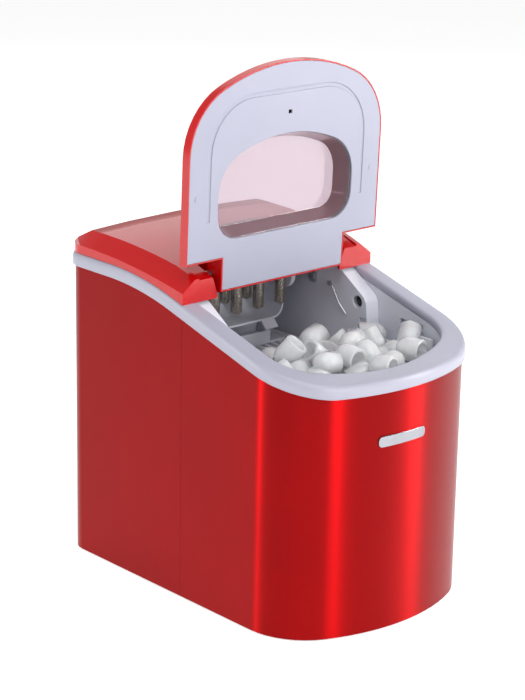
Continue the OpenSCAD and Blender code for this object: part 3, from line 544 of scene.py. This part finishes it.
def iceBullet():
    # profile from the rim of the hollow, over the outside to the tip, and back inside
    r, length, wall = iceSet["radius"], iceSet["length"], iceSet["wall"]
    profile = [(r - wall, 0.8), (r - wall + 0.9, 0.0), (r - 1.0, 0.0), (r, 1.0), (r, length - r)]
    profile += [(r * math.cos(a), length - r + r * math.sin(a)) for a in (0.35, 0.7, 1.05, 1.35)]
    inside = [(r - wall, 0.8), (r - wall - 0.8, 12.0), (r - wall - 2.2, 15.5), (2.2, 17.0)]
    return profile, inside


def iceMesh(made, where, turn, size, rng):
    profile, inside = iceBullet()
    turns = iceSet["turns"]
    half = iceSet["length"] / 2
    most = iceSet["wobble"]
    wobble = [1 + rng.uniform(-most, most) for i in range(turns)]

    def point(r, z, angle):
        along = size * (z - half)
        return where + turn @ Vector((size * r * math.cos(angle), size * r * math.sin(angle), along))

    def ring(r, z):
        return [made.verts.new(point(r * wobble[i], z, 2 * math.pi * i / turns)) for i in range(turns)]

    rings = [ring(*p) for p in reversed(inside[1:])] + [ring(*p) for p in profile]
    for a, b in zip(rings, rings[1:]):
        for i in range(turns):
            k = (i + 1) % turns
            made.faces.new((a[i], b[i], b[k], a[k]))
    made.faces.new(rings[0])
    tip = made.verts.new(point(0, iceSet["length"], 0))
    for i in range(turns):
        made.faces.new((rings[-1][i], tip, rings[-1][(i + 1) % turns]))


basketLow, basketHigh = (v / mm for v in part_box("ice_basket"))


def insideBasket(x, y, reach):
    b = basketInside
    if y > b["rearFrom"]:
        return abs(x) < b["rearHalf"] - reach and y < basketHigh.y - b["wall"] - reach + b["rearSlack"]
    if abs(x) > basketHigh.x - b["wall"] - b["sideGap"] - reach:
        return False
    cornerX = bay["halfWidth"] - b["inset"] - b["corner"]
    cornerY = bay["front"] + b["inset"] + bay["cornerRadius"]
    if y < cornerY and abs(x) > cornerX:
        return math.hypot(abs(x) - cornerX, y - cornerY) < b["corner"] - reach
    return y > bay["front"] + b["frontGap"] + x * x / 2 / b["frontRadius"] + reach


def pileIce():
    rng = random.Random(iceSet["seed"])
    ball = iceSet["spacing"] / 2
    floor = basketLow.z + iceSet["floorUp"] + ball
    placed = []
    tops = np.zeros((0, 3))
    misses = 0
    while misses < iceSet["misses"]:
        best = None
        for i in range(iceSet["tries"]):
            x = rng.uniform(-iceSet["sideRun"], iceSet["sideRun"])
            y = rng.uniform(basketLow.y, basketHigh.y)
            if not insideBasket(x, y, ball - iceSet["tuck"]):
                continue
            flat = (tops[:, 0] - x) ** 2 + (tops[:, 1] - y) ** 2
            under = flat < 4 * ball * ball
            z = max([floor, *(tops[under, 2] + np.sqrt(4 * ball * ball - flat[under]))])
            if best is None or z < best[2]:
                best = (x, y, z)
        # the heap stands highest near the bowed front and falls towards the tray and the sides
        back = max(0, (best[1] - iceSet["crestY"]) / iceSet["crestRun"])
        aside = (best[0] / iceSet["sideRun"]) ** 2
        limit = iceSet["top"] - ball - iceSet["crestFall"] * back - iceSet["sideFall"] * aside
        if best[2] > limit:
            misses += 1
            continue
        placed.append(best)
        tops = np.array(placed)
    made = bmesh.new()
    for where in placed:
        turn = Euler([rng.uniform(0, iceSet["spin"]) for axis in range(3)]).to_matrix()
        iceMesh(made, Vector(where), turn, rng.uniform(*iceSet["sizes"]), rng)
    bmesh.ops.scale(made, vec=(mm, mm, mm), verts=made.verts)
    bmesh.ops.recalc_face_normals(made, faces=made.faces)
    for face in made.faces:
        face.smooth = True
    mesh = bpy.data.meshes.new("ice")
    made.to_mesh(mesh)
    made.free()
    piece = meshObject("ice", mesh)
    mesh.materials.append(materials["ice"])
    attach(piece, "basket")
    print("stage: ice,", len(placed), "pieces")


pileIce()


# floor, room and lights
studio = {"floorHalf": 6.0, "roomLight": 0.42,
          "lamps": [
              # name, place, size across and up, power, aim
              ("keyFront", (1.48, -1.42, 0.8), (0.3, 1.5), 24, (0, 0, 0.15)),
              ("stripFront", (-0.11, -2.2, 0.8), (0.1, 1.5), 16, (0, 0, 0.15)),
              ("stripBack", (-1.9, 1.0, 0.8), (0.1, 1.5), 16, (0, 0, 0.15)),
              ("softTop", (-0.5, -0.9, 2.3), (1.6, 1.6), 24, (0, 0, 0.2)),
              ("softBack", (1.45, 1.6, 1.5), (1.9, 1.6), 8, (0, 0.1, 0.3)),
          ]}


def makeStudio():
    scene = bpy.context.scene
    scene.view_settings.view_transform = "Standard"
    world = bpy.data.worlds.new("room")
    scene.world = world
    world.use_nodes = True
    tree = world.node_tree
    tree.nodes.clear()
    seen = addNode(tree, "ShaderNodeLightPath").outputs["Is Camera Ray"]
    strength = addNode(tree, "ShaderNodeMapRange", values={"To Min": studio["roomLight"], "To Max": 1.0},
                       links={"Value": seen})
    back = addNode(tree, "ShaderNodeBackground", values={"Color": (1, 1, 1, 1)},
                   links={"Strength": strength.outputs[0]})
    addNode(tree, "ShaderNodeOutputWorld", links={"Surface": back.outputs[0]})
    half = studio["floorHalf"]
    mesh = bpy.data.meshes.new("floor")
    corners = [(-half, -half, 0), (half, -half, 0), (half, half, 0), (-half, half, 0)]
    mesh.from_pydata(corners, [], [(0, 1, 2, 3)])
    floor = meshObject("floor", mesh)
    # matt paper that glows a little, so that it blends into the pale room
    mesh.materials.append(makeMaterial("pale paper floor", "F6F6F6",
                                       {"Roughness": 0.9, "Emission Color": (1, 1, 1, 1),
                                        "Emission Strength": 0.52},
                                       grain=(3.0, 0.01, 0.05), drift=(300, "F3F3F3", 0.5)))
    for name, place, size, power, aim in studio["lamps"]:
        lamp = bpy.data.lights.new(name, "AREA")
        lamp.shape = "RECTANGLE"
        lamp.size, lamp.size_y = size
        lamp.energy = power
        light = bpy.data.objects.new(name, lamp)
        light.location = place
        light.rotation_euler = (Vector(aim) - Vector(place)).to_track_quat("-Z", "Y").to_euler()
        scene.collection.objects.link(light)


makeStudio()
print("stage: studio")
